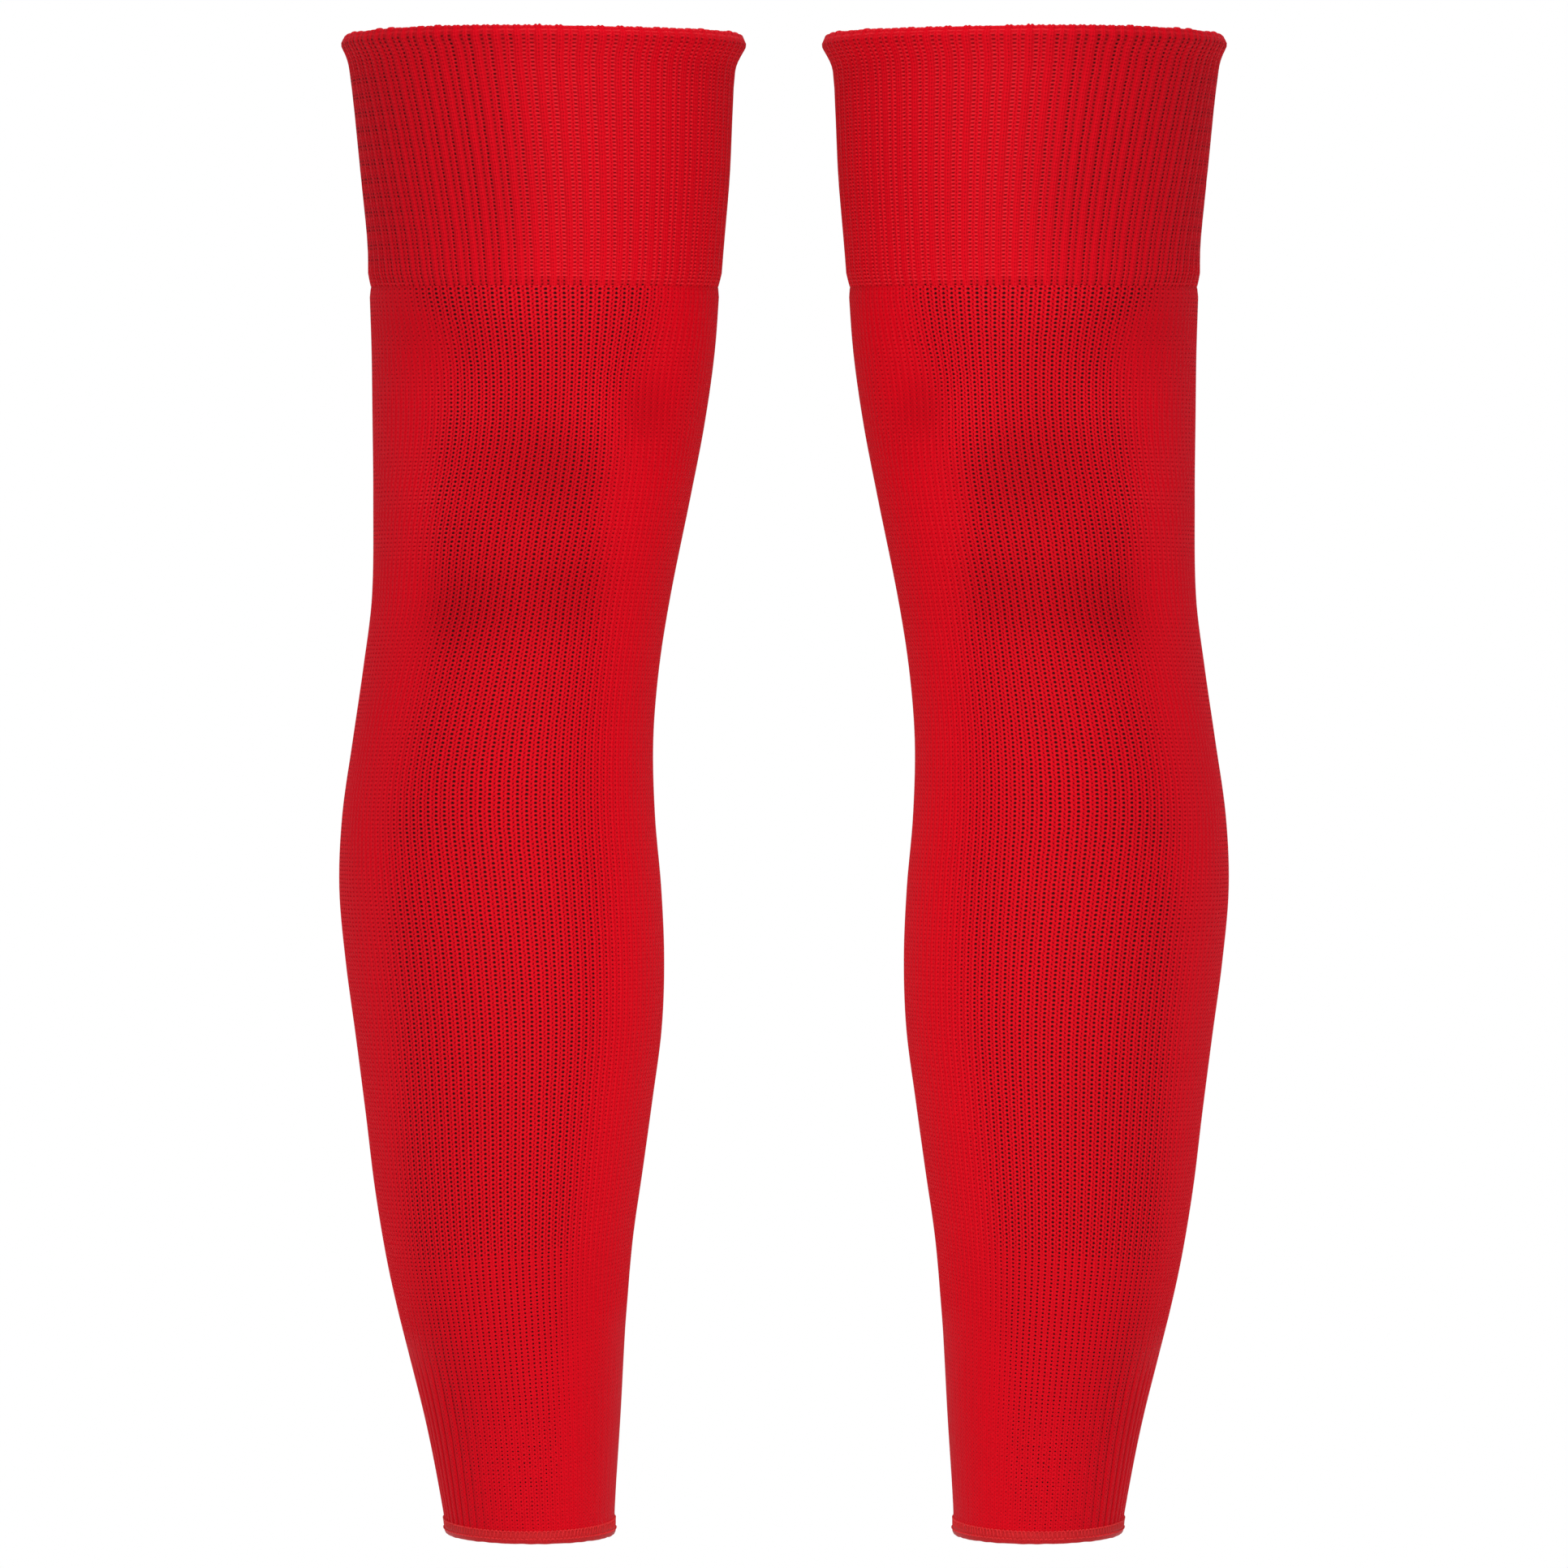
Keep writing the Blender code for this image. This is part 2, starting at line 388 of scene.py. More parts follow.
def cuff_relief(height, share):
    """A wide and a narrow raised band in each rib, with a groove on both sides of the wide one.

    The grooves get shallower towards the rim, and the whole cuff draws in close above its seam.
    """
    ribs = share * RIBS + cuff_bend(height, cloth_turn(height, share)) * RIBS / COLUMNS
    grooves = groove(ribs, PURL, 0.16) + 0.8 * groove(ribs, -PURL, 0.15)
    groove_depth = CUFF_GROOVES + CUFF_GROOVES_MORE * smooth_step(np.abs(degrees_round(share)), 15, 60)
    below_rim = max(0.35, ramp(RIM_TOP - height, 8.0))
    near_seam = 1.0 - ramp(height - LEG_TOP, 5.0)
    crease = near_seam * (CUFF_CREASE + CUFF_CREASE_MORE * seam_crease(share))
    return 0.15 - groove_depth * below_rim * grooves - crease


def rim_relief(height, share):
    """Small bumps round the rim, one for each rib and others that don't keep step with the ribs."""
    return 0.10 * np.cos(2 * math.pi * RIBS * share) + 0.10 * np.sin(2 * math.pi * 37 * share + 1.3)


# The bumps on the rim: where in each rib they stand, how tall they are, and how fast their height changes
# from rib to rib
RimBump = namedtuple("RimBump", "place tall change")
RIM_BUMPS = [RimBump(0.0, 0.85, 2.9), RimBump(0.5, 0.55, 1.7)]


def rim_lift(share):
    """The tops of each rib's wide and narrow band make small uneven bumps, in pairs, along the rim."""
    lift = 0.20 * np.sin(2 * math.pi * 3 * share)
    for bump in RIM_BUMPS:
        band = np.round(share * RIBS - bump.place)
        uneven = 0.55 + 0.45 * np.sin(band * bump.change + 0.6) * np.cos(band * 1.3)
        away = np.abs(share * RIBS - bump.place - band)
        lift = lift + bump.tall * uneven * np.exp(-(((away - 0.09) / 0.07) ** 2))
    return lift


def ankle_relief(height, share):
    """A narrow groove between each two ribs, clear on the outer side and faint all round the rest."""
    depth = ANKLE_GROOVES * ramp(ANKLE_TOP - height, 14.0) * rib_strength(degrees_round(share))
    return -depth * groove(share * RIBS, 0.25, 0.26)


def hem_lift(share):
    """The hem's lower edge is slightly uneven."""
    turn = 2 * math.pi * share
    return 0.09 * np.sin(7 * turn + 0.8) * np.sin(23 * turn) + 0.05 * np.sin(41 * turn)


# One row of points round a wall: its height, how far it stands out, and its relief and lift
Row = namedtuple("Row", "height rise relief lift", defaults=(no_relief, no_lift))


def wall_corners(row_count, points_round):
    """The rows of each face's four corners, and their places round the wall.

    The last faces reach one past the last row and the last place, which is the first one again.
    """
    row, place = np.meshgrid(np.arange(row_count), np.arange(points_round), indexing="ij")
    corner_rows = np.stack([row, row, row + 1, row + 1], axis=-1)
    corner_places = np.stack([place, place + 1, place + 1, place], axis=-1)
    return corner_rows, corner_places


def closed_wall(name, side, points_round, rows, material, column_bend=leg_bend):
    """A closed wall through rows that go up its outer face and down its inner face."""
    share = np.arange(points_round) / points_round
    grid_height = np.stack([row.height + row.lift(share) for row in rows])
    grid_share = np.repeat(share[None, :], len(rows), axis=0)
    rise = np.stack([row.rise + row.relief(row.height, share) for row in rows])
    points = cloth_points(grid_height, grid_share, rise, side).reshape(-1, 3)
    corner_rows, corner_places = wall_corners(len(rows), points_round)
    corner_rows = corner_rows % len(rows)
    faces = (corner_rows * points_round + corner_places % points_round).reshape(-1, 4)

    # The columns are counted on over the last face, whose far corners are the first points again
    columns = corner_places / points_round * COLUMNS
    courses = courses_at(np.array([row.height for row in rows], dtype=float))[corner_rows]
    uvs = np.stack([columns, courses], axis=-1)

    # The right sleeve is mirrored, so its faces are turned round to look out of the cloth again
    if side < 0:
        faces = faces[:, ::-1]
        uvs = uvs[..., ::-1, :]

    mesh = bpy.data.meshes.new(name)
    mesh.from_pydata(points.tolist(), [], faces.tolist())
    mesh.uv_layers.new(name="Knit").data.foreach_set("uv", uvs.ravel())

    # What the materials read from the points
    turn = cloth_turn(grid_height, grid_share)
    layers = {
        "open": openness(grid_height, turn),
        # Painted shade, and painted highlight where it is below 0
        "shade": add_patches(PAINTED_SHADES, grid_height, turn),
        "bend": column_bend(grid_height, turn),
        "ribs": rib_strength(np.degrees(turn)),
    }
    for layer, values in layers.items():
        mesh.attributes.new(layer, "FLOAT", "POINT").data.foreach_set("value", values.ravel())

    mesh.shade_smooth()
    mesh.set_sharp_from_angle(angle=SHARP_ANGLE)
    return add_piece(name, mesh, material)


def add_piece(name, mesh, material):
    """A piece of the pair, made from its mesh."""
    mesh.materials.append(material)
    piece = bpy.data.objects.new(name, mesh)
    bpy.context.scene.collection.objects.link(piece)
    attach(piece, "root")
    return piece


def rows_between(low, high, spacing, rise, relief=no_relief):
    """Rows about a spacing apart from low to high, both included."""
    count = max(2, int(round(abs(high - low) / spacing)) + 1)
    return [Row(height, rise, relief) for height in np.linspace(low, high, count)]


# How the cuff's face bulges out just below its rim
ProfilePoint = namedtuple("ProfilePoint", "height rise")
RIM_FLARE = [
    ProfilePoint(548.0, 0.45),
    ProfilePoint(550.0, 0.60),
    ProfilePoint(552.0, 0.95),
    ProfilePoint(553.5, 1.30),
    ProfilePoint(555.0, 1.45),
    ProfilePoint(556.2, 1.30),
    ProfilePoint(557.2, 0.90),
]


def add_cuff(side, label, material):
    """The double ribbed welt: it stands a little out over the leg's top and turns over in a round rim."""
    foot = LEG_TOP - 0.8
    rows = [Row(foot, -0.9), Row(foot, -0.04, cuff_relief), Row(LEG_TOP + 0.3, 0.40, cuff_relief)]
    rows += rows_between(LEG_TOP + 2.0, LEG_TOP + 8.0, 1.5, CUFF_FACE, cuff_relief)
    rows += rows_between(LEG_TOP + 13.0, FLARE_FOOT, 6.0, CUFF_FACE, cuff_relief)
    rows += [Row(point.height, point.rise, cuff_relief) for point in RIM_FLARE]
    for step in range(RIM_STEPS + 1):
        angle = math.pi * step / RIM_STEPS
        height = RIM_TOP - RIM_ROLL - 0.3 + RIM_ROLL * math.sin(angle)
        rows.append(Row(height, -0.80 + (RIM_ROLL + 0.2) * math.cos(angle), rim_relief, rim_lift))
    rows += rows_between(INSIDE_TOP, foot, 11.0, CUFF_INSIDE)
    return closed_wall(f"cuff_knit_{label}", side, 16 * RIBS, rows, material, cuff_bend)


def add_leg(side, label, material):
    """The long mesh knit tube over the knee and the calf."""
    rows = rows_between(ANKLE_TOP, LEG_TOP - 5.0, 3.9, 0.0, leg_relief)
    rows += rows_between(LEG_TOP - 4.0, LEG_TOP - 1.0, 1.0, 0.0, leg_relief)
    rows += [Row(LEG_TOP - 0.4, -0.06, leg_relief), Row(LEG_TOP, -0.30, leg_relief)]
    rows += rows_between(LEG_TOP, ANKLE_TOP, 11.0, LEG_INSIDE)
    return closed_wall(f"leg_knit_{label}", side, 4 * COLUMNS, rows, material)


def add_ankle(side, label, material):
    """The ribbed stretch between the leg and the hem."""
    rows = rows_between(HEM_EDGE - 1.0, ANKLE_TOP - 0.5, 2.6, 0.0, ankle_relief)
    rows.append(Row(ANKLE_TOP + 0.1, -0.02))
    rows += rows_between(ANKLE_TOP + 0.1, HEM_EDGE - 1.0, 9.0, LEG_INSIDE)
    return closed_wall(f"ankle_knit_{label}", side, 8 * RIBS, rows, material)


# Points round the hem's overlocked band, from its inner face down and round to its outer face
HEM_BAND = [
    ProfilePoint(6.6, -1.6),
    ProfilePoint(5.6, -2.3),
    ProfilePoint(4.0, -2.6),
    ProfilePoint(2.2, -2.5),
    ProfilePoint(0.9, -2.1),
    ProfilePoint(0.3, -1.5),
    ProfilePoint(0.1, -0.9),
    ProfilePoint(0.5, -0.2),
    ProfilePoint(1.2, 0.15),
    ProfilePoint(2.2, 0.25),
    ProfilePoint(3.8, 0.15),
    ProfilePoint(5.2, 0.15),
    ProfilePoint(6.2, 0.05),
    ProfilePoint(6.6, -0.4),
]


def add_hem_band(side, label, material):
    """The band that the overlock threads cover, with an uneven lower edge."""
    rows = []
    for point in HEM_BAND:
        lift = hem_lift if point.height < 1.5 else no_lift
        rows.append(Row(point.height, point.rise, lift=lift))
    return closed_wall(f"hem_band_{label}", side, 2 * COLUMNS, rows, material)


def thread_mesh(name, paths, outward, material):
    """Many short threads as one mesh.

    paths holds the points of each thread in metres, and outward the way out of the cloth at each point.
    """
    # Two directions square to the thread at each of its points
    count, points, _ = paths.shape
    tangent = np.gradient(paths, axis=1)
    tangent /= np.linalg.norm(tangent, axis=2, keepdims=True)
    across = np.cross(tangent, outward)
    across /= np.linalg.norm(across, axis=2, keepdims=True)
    lift = np.cross(across, tangent)

    # A ring of points round each point of a thread, thinner at its two ends
    angles = 2 * math.pi * np.arange(THREAD_SIDES) / THREAD_SIDES
    taper = np.ones(points)
    taper[[0, -1]] = THREAD_TIP
    ring = (
        np.cos(angles)[None, None, :, None] * lift[:, :, None, :]
        + np.sin(angles)[None, None, :, None] * across[:, :, None, :]
    )
    verts = paths[:, :, None, :] + THREAD_RADIUS * MM * taper[None, :, None, None] * ring

    # Faces between each two rings, and one to close each end
    index = np.arange(count * points * THREAD_SIDES).reshape(count, points, THREAD_SIDES)
    low = index[:, :-1]
    high = index[:, 1:]
    walls = np.stack([low, np.roll(low, -1, axis=2), np.roll(high, -1, axis=2), high], axis=-1)
    first_ends = index[:, 0, ::-1]
    last_ends = index[:, -1]
    faces = walls.reshape(-1, 4).tolist() + first_ends.tolist() + last_ends.tolist()
    mesh = bpy.data.meshes.new(name)
    mesh.from_pydata(verts.reshape(-1, 3).tolist(), [], faces)
    mesh.shade_smooth()
    return add_piece(name, mesh, material)


# The hem's overlock threads. along is in stitches round the hem: each upper thread makes a small loop at
# the band's top edge and slants down to the lower row, each lower thread makes one short loop there, and
# the inner threads slant up the band's inner face.
StitchPoint = namedtuple("StitchPoint", "height rise along")
UPPER_THREAD = [
    StitchPoint(5.5, 0.02, -0.50),
    StitchPoint(6.1, 0.14, -0.36),
    StitchPoint(6.3, 0.18, -0.08),
    StitchPoint(6.0, 0.14, 0.20),
    StitchPoint(5.2, 0.06, 0.36),
    StitchPoint(4.0, 0.04, 0.50),
    StitchPoint(2.6, 0.04, 0.64),
]
LOWER_THREAD = [
    StitchPoint(1.9, 0.05, -0.46),
    StitchPoint(2.4, 0.26, -0.30),
    StitchPoint(2.6, 0.34, 0.0),
    StitchPoint(2.4, 0.28, 0.26),
    StitchPoint(1.8, 0.05, 0.42),
]
INNER_THREAD = [
    StitchPoint(0.9, -2.2, -0.50),
    StitchPoint(1.8, -2.6, -0.25),
    StitchPoint(3.6, -2.8, 0.0),
    StitchPoint(5.2, -2.6, 0.3),
    StitchPoint(6.4, -1.9, 0.5),
]


def add_overlock(side, label, thread, material):
    """One run of overlock threads all round the hem."""
    point = table_columns(thread)
    stitches = int(2 * math.pi * HEM_RADIUS / OVERLOCK_PITCH)
    index = np.arange(stitches)[:, None]
    wander = 0.08 * np.sin(index * 2.3)
    share = index / stitches + (point["along"] + wander) / stitches
    height = np.broadcast_to(point["height"], share.shape)
    rise = np.broadcast_to(point["rise"], share.shape)
    paths = cloth_points(height, share, rise, side)
    outward = cloth_points(height, share, rise + 1.0, side) - paths
    return thread_mesh(f"hem_{label}", paths, outward, material)


# Colours in linear light: of the knit's yarn, of its painted shade, which its darker fibres share, and its
# painted highlight, the painted shade of the dark inside seen through its holes, and of the hem
YARN = (0.770, 0.0010, 0.0105)
YARN_DARK_FIBRE_AND_PAINTED_SHADE = (0.400, 0.0035, 0.0075)
YARN_PAINTED_HIGHLIGHT = (0.860, 0.0190, 0.0300)
HOLE_PAINTED_SHADE = (0.030, 0.0025, 0.0028)
THREAD = (0.820, 0.0260, 0.0320)
THREAD_SHADE = (0.600, 0.0110, 0.0160)
# The band's colours are darker than the threads', in part as painted shade along the hem's lower edge
BAND = (0.640, 0.0120, 0.0170)
BAND_SHADE = (0.460, 0.0060, 0.0100)
SHEEN = (1.0, 0.06, 0.12, 1.0)
FLOOR_GREY = (0.86, 0.86, 0.86, 1.0)
WHITE = (1.0, 1.0, 1.0, 1.0)


class Field:
    """A shader value that can be added, multiplied and so on, each step making its Math node."""

    def __init__(self, tree, socket):
        self.tree = tree
        self.socket = socket

    def math(self, operation, *others):
        node = self.tree.nodes.new("ShaderNodeMath")
        node.operation = operation
        for slot, value in zip(node.inputs, (self, *others)):
            plug(self.tree, slot, value)
        return Field(self.tree, node.outputs[0])

    def __add__(self, other):
        return self.math("ADD", other)

    def __sub__(self, other):
        return self.math("SUBTRACT", other)

    def __mul__(self, other):
        return self.math("MULTIPLY", other)

    def __truediv__(self, other):
        return self.math("DIVIDE", other)

    def at_least(self, other):
        """The larger of two values."""
        return self.math("MAXIMUM", other)

    def at_most(self, other):
        """The smaller of two values."""
        return self.math("MINIMUM", other)

    def between(self, start, end):
        """start where the value is 0, end where it is 1, and in even steps between them."""
        return self * (end - start) + start

    def opposite(self):
        """1 where the value is 0, and 0 where it is 1."""
        return self.between(1.0, 0.0)

    def from_line(self):
        """The distance from the nearest whole number."""
        return self.math("PINGPONG", 0.5)

    def past_line(self):
        """How far the value is past the nearest whole number, from -0.5 to 0.5."""
        return self - self.math("ROUND")

    def wave(self):
        """One wave for each whole number, from 0 to 1, highest at the whole numbers."""
        return (self * (2 * math.pi)).math("COSINE") * 0.5 + 0.5

    def step(self, low, high, start=0.0, end=1.0):
        """A smooth step from start to end as the value goes from low to high."""
        node = self.tree.nodes.new("ShaderNodeMapRange")
        node.interpolation_type = "SMOOTHSTEP"
        for slot, value in zip(node.inputs, (self, low, high, start, end)):
            plug(self.tree, slot, value)
        return Field(self.tree, node.outputs[0])

    def fade(self, low, high):
        """A smooth step from 1 to 0 as the value goes from low to high."""
        return self.step(low, high, 1.0, 0.0)


def plug(tree, slot, value):
    """Gives an input of a node a field or a plain value."""
    if isinstance(value, Field):
        tree.links.new(value.socket, slot)
    else:
        slot.default_value = value


def set_inputs(node, **values):
    """Sets inputs of a node by their names, with underscores for the spaces in them."""
    for name, value in values.items():
        node.inputs[name.replace("_", " ")].default_value = value


def new_material(name):
    """A new material, its node tree and its main shader."""
    material = bpy.data.materials.new(name)
    material.use_nodes = True
    tree = material.node_tree
    return material, tree, tree.nodes["Principled BSDF"]


def mix_colour(tree, amount, first, second):
    """The first colour where the amount is 0, the second where it is 1, and mixed between them."""
    node = tree.nodes.new("ShaderNodeMix")
    node.data_type = "RGBA"
    plug(tree, node.inputs[0], amount)
    for slot, value in ((node.inputs[6], first), (node.inputs[7], second)):
        plug(tree, slot, value if isinstance(value, Field) else (*value, 1.0))
    return Field(tree, node.outputs[2])


def noise(tree, vector, scale, detail=2.0):
    """Soft noise about 0.5, finer with a larger scale and rougher with more detail."""
    node = tree.nodes.new("ShaderNodeTexNoise")
    set_inputs(node, Scale=scale, Detail=detail)
    plug(tree, node.inputs["Vector"], vector)
    return Field(tree, node.outputs["Fac"])


def add_bump(tree, shader, height, strength, distance):
    """Makes a surface look raised by a height field, by a distance in millimetres where it is 1."""
    node = tree.nodes.new("ShaderNodeBump")
    set_inputs(node, Strength=strength, Distance=distance * MM)
    plug(tree, node.inputs["Height"], height)
    tree.links.new(node.outputs[0], shader.inputs["Normal"])


class Knit:
    """The fields that a knit material is drawn from.

    column and course count the stitches, and open, shade, bend and ribs come from the points of the wall.
    """

    def __init__(self, tree):
        self.tree = tree
        uv_map = tree.nodes.new("ShaderNodeUVMap")
        uv_map.uv_map = "Knit"
        self.place = Field(tree, uv_map.outputs[0])
        split = tree.nodes.new("ShaderNodeSeparateXYZ")
        plug(tree, split.inputs[0], self.place)
        sway = noise(tree, self.place, 0.45) - 0.5
        drift = noise(tree, self.place, 0.30) - 0.5
        self.column = Field(tree, split.outputs[0]) + sway * 0.25 + self.attribute("bend")
        self.course = Field(tree, split.outputs[1]) + drift * 0.40
        self.open = self.attribute("open")
        # Painted shade, and painted highlight where it is below 0
        self.shade = self.attribute("shade")
        self.ribs = self.attribute("ribs")

    def attribute(self, name):
        node = self.tree.nodes.new("ShaderNodeAttribute")
        node.attribute_name = name
        return Field(self.tree, node.outputs["Fac"])

    def each_stitch(self, column, course):
        """A random value from 0 to 1, the same all over one stitch."""
        joined = self.tree.nodes.new("ShaderNodeCombineXYZ")
        plug(self.tree, joined.inputs[0], column.math("ROUND"))
        plug(self.tree, joined.inputs[1], course.math("ROUND"))
        node = self.tree.nodes.new("ShaderNodeTexWhiteNoise")
        node.noise_dimensions = "2D"
        self.tree.links.new(joined.outputs[0], node.inputs["Vector"])
        return Field(self.tree, node.outputs["Value"])


def spot_in_stitch(column, course, half_width, half_height, softness=0.35, dome=0.0, slant=0.0):
    """A soft spot in every stitch, 1 inside: dome narrows its top and slant leans it.

    Its sizes are in the units that column and course count.
    """
    up = course.past_line() / half_height
    across = (column.past_line() + up * slant) / half_width
    across = across * (up * dome + 1.0)
    away = (across * across + up * up).math("SQRT")
    return away.fade(1.0 - softness, 1.0 + softness)


def finish_knit(knit, shader, height, holes, light):
    """Colours the yarn with painted shade and highlight by how high it stands and on its spots, and adds the
    cloth's bump.
    """
    tree = knit.tree
    fibre = noise(tree, knit.place, 5.0, 3.0)
    patch = noise(tree, knit.place, 0.05, 1.0)
    # The yarn takes painted shade where it stands low and where the shade attribute is above 0, and darkens
    # at random in its fibres and in broad patches
    shade_and_tone = height * 0.9 + (fibre - 0.5) * 0.7 + (patch - 0.5) * 0.25 + 0.10 - knit.shade * 0.75
    colour = mix_colour(tree, shade_and_tone.at_most(1.0).at_least(0.0), YARN_DARK_FIBRE_AND_PAINTED_SHADE, YARN)
    colour = mix_colour(tree, light.at_most(1.0).at_least(0.0), colour, YARN_PAINTED_HIGHLIGHT)
    # The holes take the painted shade of the dark inside seen through them
    colour = mix_colour(tree, holes, colour, HOLE_PAINTED_SHADE)
    plug(tree, shader.inputs["Base Color"], colour)
    add_bump(tree, shader, height - holes * 0.6 + (fibre - 0.5) * 0.3, strength=0.8, distance=0.35)
    set_inputs(shader, Roughness=0.6, Specular_IOR_Level=0.04)
    set_inputs(shader, Sheen_Weight=0.14, Sheen_Roughness=0.5, Sheen_Tint=SHEEN)


def mesh_knit(name):
    """Mesh knit: a wide domed hole between each two columns and a small slanted one in each column.

    Below the mesh the wide holes are lower and have no dome, and the small ones are fainter. Further down
    the grooves of the ankle's ribs come in as darker lines of painted shade, and low on the ankle the holes
    are darker and less even.
    """
    material, tree, shader = new_material(name)
    knit = Knit(tree)
    column, course, stretch = knit.column, knit.course, knit.open
    in_column = column.from_line()

    # mesh is 1 in the mesh, ankle is 1 low on the ankle, and ribbed is 1 where the ankle's ribs lie
    mesh_start = courses_at(MESH_BOTTOM)
    mesh = course.step(mesh_start - 1.0, mesh_start + 1.0)
    ankle = course.fade(courses_at(ANKLE_TOP - 34), courses_at(ANKLE_TOP - 14))
    ribbed = course.fade(courses_at(ANKLE_TOP - 4), courses_at(MESH_BOTTOM - 4))

    chance = knit.each_stitch(column - 0.5, course - 0.5)
    uneven = (chance * ankle.between(0.10, 0.65)).opposite()
    size = uneven.between(0.64, 1.04)
    half_width = stretch.between(0.10, 0.17) * size
    half_height = stretch.between(0.12, 0.28) * size * mesh.between(0.82, 1.0)
    wide = spot_in_stitch(column - 0.5, course - 0.5, half_width, half_height, dome=mesh * 0.30)
    wide_depth = (stretch * (mesh.between(0.85, 0.72) + ankle * 0.85) + 0.40 - ankle * 0.12) * uneven
    half_width, half_height = stretch.between(0.055, 0.090), stretch.between(0.15, 0.25)
    small = spot_in_stitch(column, course, half_width, half_height, slant=0.030)
    small_depth = stretch.between(0.25, 0.85) * mesh.between(0.38, 1.0) + ankle * 0.28
    holes = (wide * wide_depth).at_most(1.0).at_least(small * small_depth)

    # Painted highlights below and beside the holes, more where the shade attribute is below 0, fewer below
    # the mesh and on the ankle's ribs
    highlight_below_hole = spot_in_stitch(column - 0.5, course, 0.24, 0.20, 0.7)
    highlight_beside_hole = spot_in_stitch(in_column - 0.27, course - 0.05, 0.09, 0.28, 0.7)
    light = highlight_beside_hole.at_least(highlight_below_hole * 0.6) * knit.shade.between(0.40, -0.80)
    light = light * (mesh.between(0.70, 1.0) - ribbed * knit.ribs * 0.50)

    # Painted shade in the ankle's rib grooves, away from the middle of each column and on the low side of
    # each loop's chevron; the same height gives the bump
    rib_groove_shade = (column * 0.5 - 0.25).from_line().fade(0.02, 0.16) * ribbed * knit.ribs
    chevrons = (course + in_column * 2.0).wave()
    height = chevrons * 0.42 + 0.62 + mesh * 0.03 - in_column * 0.12 - rib_groove_shade * 0.6
    finish_knit(knit, shader, height, holes, light)
    return material


def cuff_knit():
    """Rib knit: a wide and a narrow smooth band, and between them grooves of holes and light bars."""
    material, tree, shader = new_material("cuff_rib_knit")
    knit = Knit(tree)
    rib, course, stretch = knit.column * 0.5, knit.course, knit.open

    # Each of these is 1 at its place: close above the seam, on the rim, under it, where the grooves take
    # more painted shade, and along its top, which takes a painted highlight
    seam = courses_at(LEG_TOP)
    top = courses_at(RIM_TOP)
    above_seam = course.fade(seam + 1.5, seam + 6.0)
    rim = course.step(top - 3.0, top - 1.6)
    under_rim = course.step(top - 6.0, top - 3.5) - rim
    edge = course.step(top - 0.45, top - 0.2)
    ends = rim.at_least(above_seam)

    chance = knit.each_stitch(rib - PURL, course - 0.5)
    half_width, half_height = stretch.between(0.090, 0.055), stretch.between(0.19, 0.28)
    strong = spot_in_stitch(rib - PURL, course - 0.5, half_width, half_height)
    half_width, half_height = stretch.between(0.082, 0.047), stretch.between(0.18, 0.24)
    medium = spot_in_stitch(rib + PURL, course - 0.5, half_width, half_height)
    faint = spot_in_stitch(rib, course - 0.2, 0.030, 0.23)
    faint = faint.at_least(spot_in_stitch(rib - 0.5, course - 0.2, 0.028, 0.22))
    strong_depth = stretch.between(0.62, 1.12) * chance.between(1.0, 0.70)
    medium_depth = stretch.between(0.60, 0.90) * chance.between(0.65, 1.0)
    holes = (strong * strong_depth).at_most(1.0).at_least(medium * medium_depth).at_least(faint * 0.5)
    holes = holes * rim.opposite()

    # Painted highlights: bars across the grooves, fewer where the holes stand open and under the rim, flecks
    # on the bands, and a line along the rim's top
    strong_bars = spot_in_stitch(rib - PURL, course, ends.between(0.125, 0.185), 0.21, 0.3)
    medium_bars = spot_in_stitch(rib + PURL, course, ends.between(0.105, 0.165), 0.20, 0.3)
    bars = strong_bars.at_least(medium_bars) * stretch.between(1.15, 0.15) * under_rim.between(1.0, 0.5)
    fleck_highlights = spot_in_stitch((rib * 2.0).from_line() - 0.13, course - 0.65, 0.050, 0.25, 0.6)
    light = bars.at_least(fleck_highlights * 0.4).at_least(edge * 0.5)

    # Painted shade in the grooves, more under the rim and where the holes stand open towards the outer side,
    # and in strips beside the grooves; the same height gives the bump
    right_flank_shade = (rib - PURL + 0.16).from_line().fade(0.0, 0.09)
    left_flank_shade = (rib + PURL - 0.15).from_line().fade(0.0, 0.08)
    grooves = (rib - PURL).from_line().fade(0.05, 0.15)
    grooves = grooves.at_least((rib + PURL).from_line().fade(0.05, 0.14))
    groove_depth = under_rim * 0.3 + stretch * 0.55 + 0.22
    strokes = (course + rib.from_line() * 2.2).wave()
    height = strokes * 0.35 + 0.82 - grooves * groove_depth - right_flank_shade * 0.5 - left_flank_shade * 0.25
    finish_knit(knit, shader, height + bars * 0.20, holes, light)
    return material


def hem_thread(name, bump, shade, colour):
    """Hem thread, lighter than the knit and finely fibrous."""
    material, tree, shader = new_material(name)
    coordinates = tree.nodes.new("ShaderNodeTexCoord")
    place = Field(tree, coordinates.outputs["Object"])
    fibre = noise(tree, place, 2600.0, 3.0)
    plug(tree, shader.inputs["Base Color"], mix_colour(tree, fibre.step(0.25, 0.70), shade, colour))
    add_bump(tree, shader, fibre, strength=0.6, distance=bump)
    set_inputs(shader, Roughness=0.5, Specular_IOR_Level=0.16)
    return material


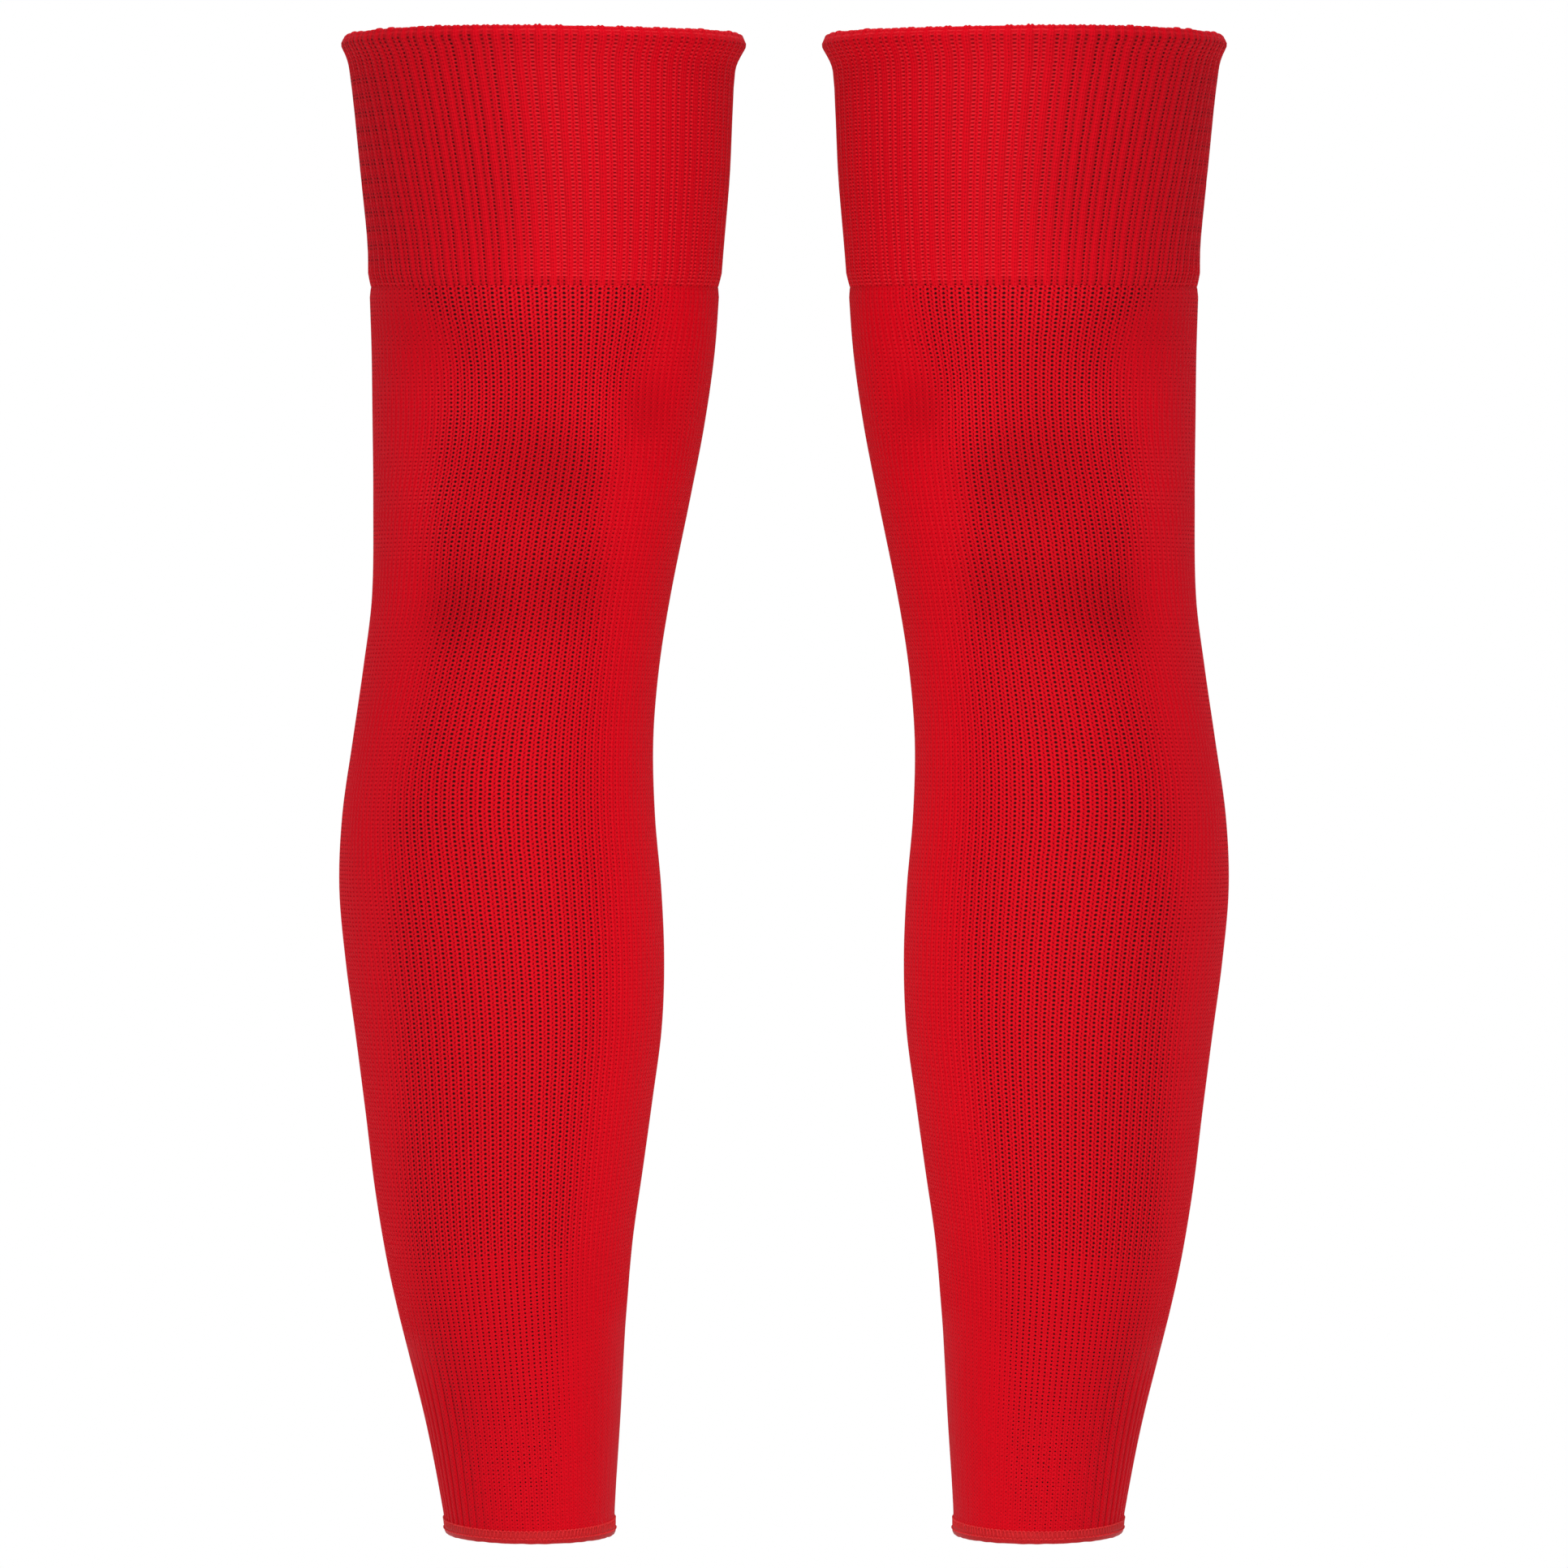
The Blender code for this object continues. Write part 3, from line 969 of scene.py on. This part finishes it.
def add_sleeve(side, label, materials):
    """One leg warmer, built from its knitted pieces, with the CAD pieces that they stand in for hidden."""
    cuff = add_cuff(side, label, materials["cuff"])
    leg = add_leg(side, label, materials["leg"])
    ankle = add_ankle(side, label, materials["ankle"])
    band = add_hem_band(side, label, materials["hem"])
    threads = [
        add_overlock(side, f"upper_threads_{label}", UPPER_THREAD, materials["thread"]),
        add_overlock(side, f"lower_threads_{label}", LOWER_THREAD, materials["thread"]),
        add_overlock(side, f"inner_threads_{label}", INNER_THREAD, materials["thread"]),
    ]
    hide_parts(f"cuff_{label}")
    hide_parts(f"leg_{label}")
    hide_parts(f"ankle_{label}")
    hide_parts(f"hem_{label}")


def floor_material():
    """Pale and matte under the pair, and glowing pure white towards the floor's edge, as bright as the white
    behind.
    """
    material, tree, shader = new_material("studio_floor")
    set_inputs(shader, Base_Color=FLOOR_GREY, Roughness=0.9, Specular_IOR_Level=0.0, Emission_Color=WHITE)
    coordinates = tree.nodes.new("ShaderNodeTexCoord")
    length = tree.nodes.new("ShaderNodeVectorMath")
    length.operation = "LENGTH"
    tree.links.new(coordinates.outputs["Object"], length.inputs[0])
    away = Field(tree, length.outputs["Value"])
    plug(tree, shader.inputs["Emission Strength"], away.step(*FLOOR_FADE))
    return material


def add_stage():
    """A round floor a little under the pair."""
    bpy.ops.mesh.primitive_circle_add(vertices=96, radius=FLOOR_RADIUS, fill_type="NGON")
    floor = bpy.context.object
    floor.name = "studio_floor"
    floor.location.z = -(GRIP_HEIGHT * MM) - FLOOR_DROP
    floor.data.materials.append(floor_material())


def add_area_light(light):
    """A soft rectangular light, unseen by the camera, that looks at the middle of the pair."""
    data = bpy.data.lights.new(light.name, "AREA")
    data.shape = "RECTANGLE"
    data.size, data.size_y = light.size
    data.energy = light.power
    lamp = bpy.data.objects.new(light.name, data)
    lamp.location = light.location
    away = Vector(light.location) - Vector((0.0, 0.0, MIDDLE_Z))
    lamp.rotation_euler = away.to_track_quat("Z", "Y").to_euler()
    lamp.visible_camera = False
    bpy.context.scene.collection.objects.link(lamp)


def add_world():
    """White behind the pair, and a softer white that lights it."""
    world = bpy.data.worlds.new("studio")
    bpy.context.scene.world = world
    world.use_nodes = True
    tree = world.node_tree
    background = tree.nodes["Background"]
    path = tree.nodes.new("ShaderNodeLightPath")
    seen = Field(tree, path.outputs["Is Camera Ray"])
    set_inputs(background, Color=WHITE)
    plug(tree, background.inputs["Strength"], seen.between(WORLD_LIGHT, 1.0))


def add_camera():
    """A camera straight in front, set so that the pair fills the picture as it does the photo."""
    data = bpy.data.cameras.new("camera")
    data.sensor_width = 36.0
    data.lens = data.sensor_width * CAMERA_DISTANCE / (PHOTO_PIXELS * PIXEL)
    camera = bpy.data.objects.new("camera", data)
    camera.location = (0.0, -CAMERA_DISTANCE, PHOTO_CENTRE_Z)
    camera.rotation_euler = (math.pi / 2, 0.0, 0.0)
    bpy.context.scene.collection.objects.link(camera)
    bpy.context.scene.camera = camera


def main():
    """Both sleeves, the stage, the lights and the camera."""
    materials = {
        "cuff": cuff_knit(),
        "leg": mesh_knit("leg_mesh_knit"),
        "ankle": mesh_knit("ankle_rib_knit"),
        "hem": hem_thread("hem_band_thread", 0.3, BAND_SHADE, BAND),
        "thread": hem_thread("hem_overlock_thread", 0.15, THREAD_SHADE, THREAD),
    }
    for side, label in ((1, "left"), (-1, "right")):
        add_sleeve(side, label, materials)
    add_stage()
    add_world()
    for light in LIGHTS:
        add_area_light(light)
    add_camera()
    bpy.context.scene.view_settings.view_transform = "Standard"


main()
